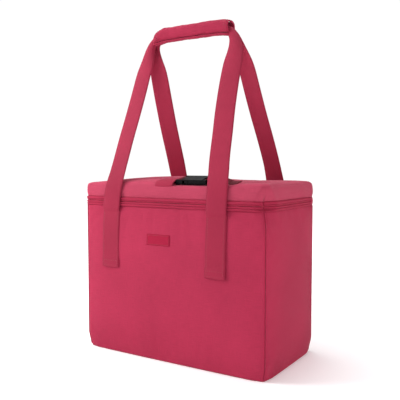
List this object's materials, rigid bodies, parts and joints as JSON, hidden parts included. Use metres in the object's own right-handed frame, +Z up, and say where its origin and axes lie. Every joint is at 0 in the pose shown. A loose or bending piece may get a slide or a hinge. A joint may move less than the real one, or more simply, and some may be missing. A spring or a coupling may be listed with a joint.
{
  "type": "insulated cooler bag",
  "caption": "Soft box-shaped insulated tote with a zip-round hinged lid, webbing carry loops joined by a padded grip wrap, and a side-release buckle on the lid.",
  "frame": {"origin": "middle of the flat base that the bag stands on", "axes": "+Z up, -Y towards the front panel with the label, +X towards the bag's right seen from the front"},
  "size_m": [0.3957, 0.2128, 0.624],
  "materials": {
    "shell": "plain-weave polyester, matt with a slight sheen",
    "webbing": "flat polyester webbing, fine ribs, stitched edges",
    "zipper": "woven zipper tape",
    "coil": "nylon zipper coil",
    "foam": "closed-cell foam",
    "lining": "silvery wipe-clean film",
    "board": "stiff plastic board",
    "label": "blank woven label",
    "plastic": "black moulded acetal, satin",
    "buckle_webbing": "dark maroon ribbed webbing",
    "hook_tape": "black hook and loop tape",
    "metal": "nickel-plated zipper slider"
  },
  "bodies": {
    "body": {"bottom_panel": "shell", "front_panel": "shell", "back_panel": "shell", "left_panel": "shell", "right_panel": "shell", "base_board": "board", "bottom_foam": "foam", "front_foam": "foam", "back_foam": "foam", "left_foam": "foam", "right_foam": "foam", "liner": "lining", "mouth_binding": "zipper", "front_left_piping": "shell", "back_left_piping": "shell", "front_right_piping": "shell", "back_right_piping": "shell", "lower_zipper_tape": "zipper", "lower_zipper_coil": "coil", "lid_hinge_strip": "shell", "front_handle_sewn_left": "webbing", "front_handle_sewn_right": "webbing", "back_handle_sewn_left": "webbing", "back_handle_sewn_right": "webbing", "front_label": "label"},
    "lid": {"lid_cover": "shell", "lid_foam": "foam", "lid_liner": "lining", "upper_zipper_tape": "zipper", "upper_zipper_coil": "coil", "lid_tab": "webbing", "buckle_socket": "plastic", "buckle_short_strap": "buckle_webbing", "buckle_long_strap": "buckle_webbing"},
    "front_handle": {"front_handle_webbing": "webbing", "grip_cover": "shell", "grip_pad": "foam", "grip_loop_tape": "hook_tape"},
    "grip_flap": {"grip_flap": "shell", "grip_hook_tape": "hook_tape"},
    "back_handle": {"back_handle_webbing": "webbing"},
    "slider": {"zipper_slider": "metal"},
    "pull": {"zipper_pull": "metal"},
    "buckle_plug": {"buckle_plug": "plastic"},
    "prong_front": {"buckle_prong_front": "plastic"},
    "prong_back": {"buckle_prong_back": "plastic"}
  },
  "joints": [
    {"name": "lid_hinge", "type": "hinge", "parent": "body", "child": "lid", "pos_m": [0, 0.1015, 0.2892], "axis": [-1, 0, 0], "range_deg": [0, 105], "deforming": ["lid_hinge_strip"]},
    {"name": "front_handle_swing", "type": "hinge", "parent": "body", "child": "front_handle", "pos_m": [0, -0.104, 0.27015], "axis": [1, 0, 0], "range_deg": [0, 147]},
    {"name": "back_handle_swing", "type": "hinge", "parent": "body", "child": "back_handle", "pos_m": [0, 0.1029, 0.27015], "axis": [-1, 0, 0], "range_deg": [0, 147]},
    {"name": "grip_flap_hinge", "type": "hinge", "parent": "front_handle", "child": "grip_flap", "pos_m": [-0.01, 0, 0.624], "axis": [1, 0, 0], "range_deg": [0, 150], "deforming": ["grip_flap", "grip_hook_tape"]},
    {"name": "zipper_slide", "type": "slide", "parent": "body", "child": "slider", "axis": [0, -1, 0], "range_m": [0, 0.145]},
    {"name": "pull_flip", "type": "hinge", "parent": "slider", "child": "pull", "pos_m": [-0.19815, 0.07, 0.2892], "axis": [0, 0, -1], "range_deg": [0, 170]},
    {"name": "buckle_release", "type": "slide", "parent": "lid", "child": "buckle_plug", "axis": [1, 0, 0], "range_m": [0, 0.026], "deforming": ["buckle_long_strap", "buckle_prong_front", "buckle_prong_back"]},
    {"name": "prong_front_press", "type": "hinge", "parent": "buckle_plug", "child": "prong_front", "pos_m": [0.0505, -0.088, 0.32789], "axis": [0, 0.2079, -0.9781], "range_deg": [0, 16], "stiffness_Nm_per_rad": 0.02},
    {"name": "prong_back_press", "type": "hinge", "parent": "buckle_plug", "child": "prong_back", "pos_m": [0.0505, -0.07, 0.33171], "axis": [0, -0.2079, 0.9781], "range_deg": [0, 16], "stiffness_Nm_per_rad": 0.02}
  ],
  "couplings": [
    {"joint": "front_handle_swing", "follows": "lid_hinge", "ratio": 1.4},
    {"joint": "back_handle_swing", "follows": "lid_hinge", "ratio": 1.4},
    {"joint": "grip_flap_hinge", "follows": "lid_hinge", "ratio": 1.4286},
    {"joint": "prong_back_press", "follows": "prong_front_press", "ratio": 1}
  ]
}
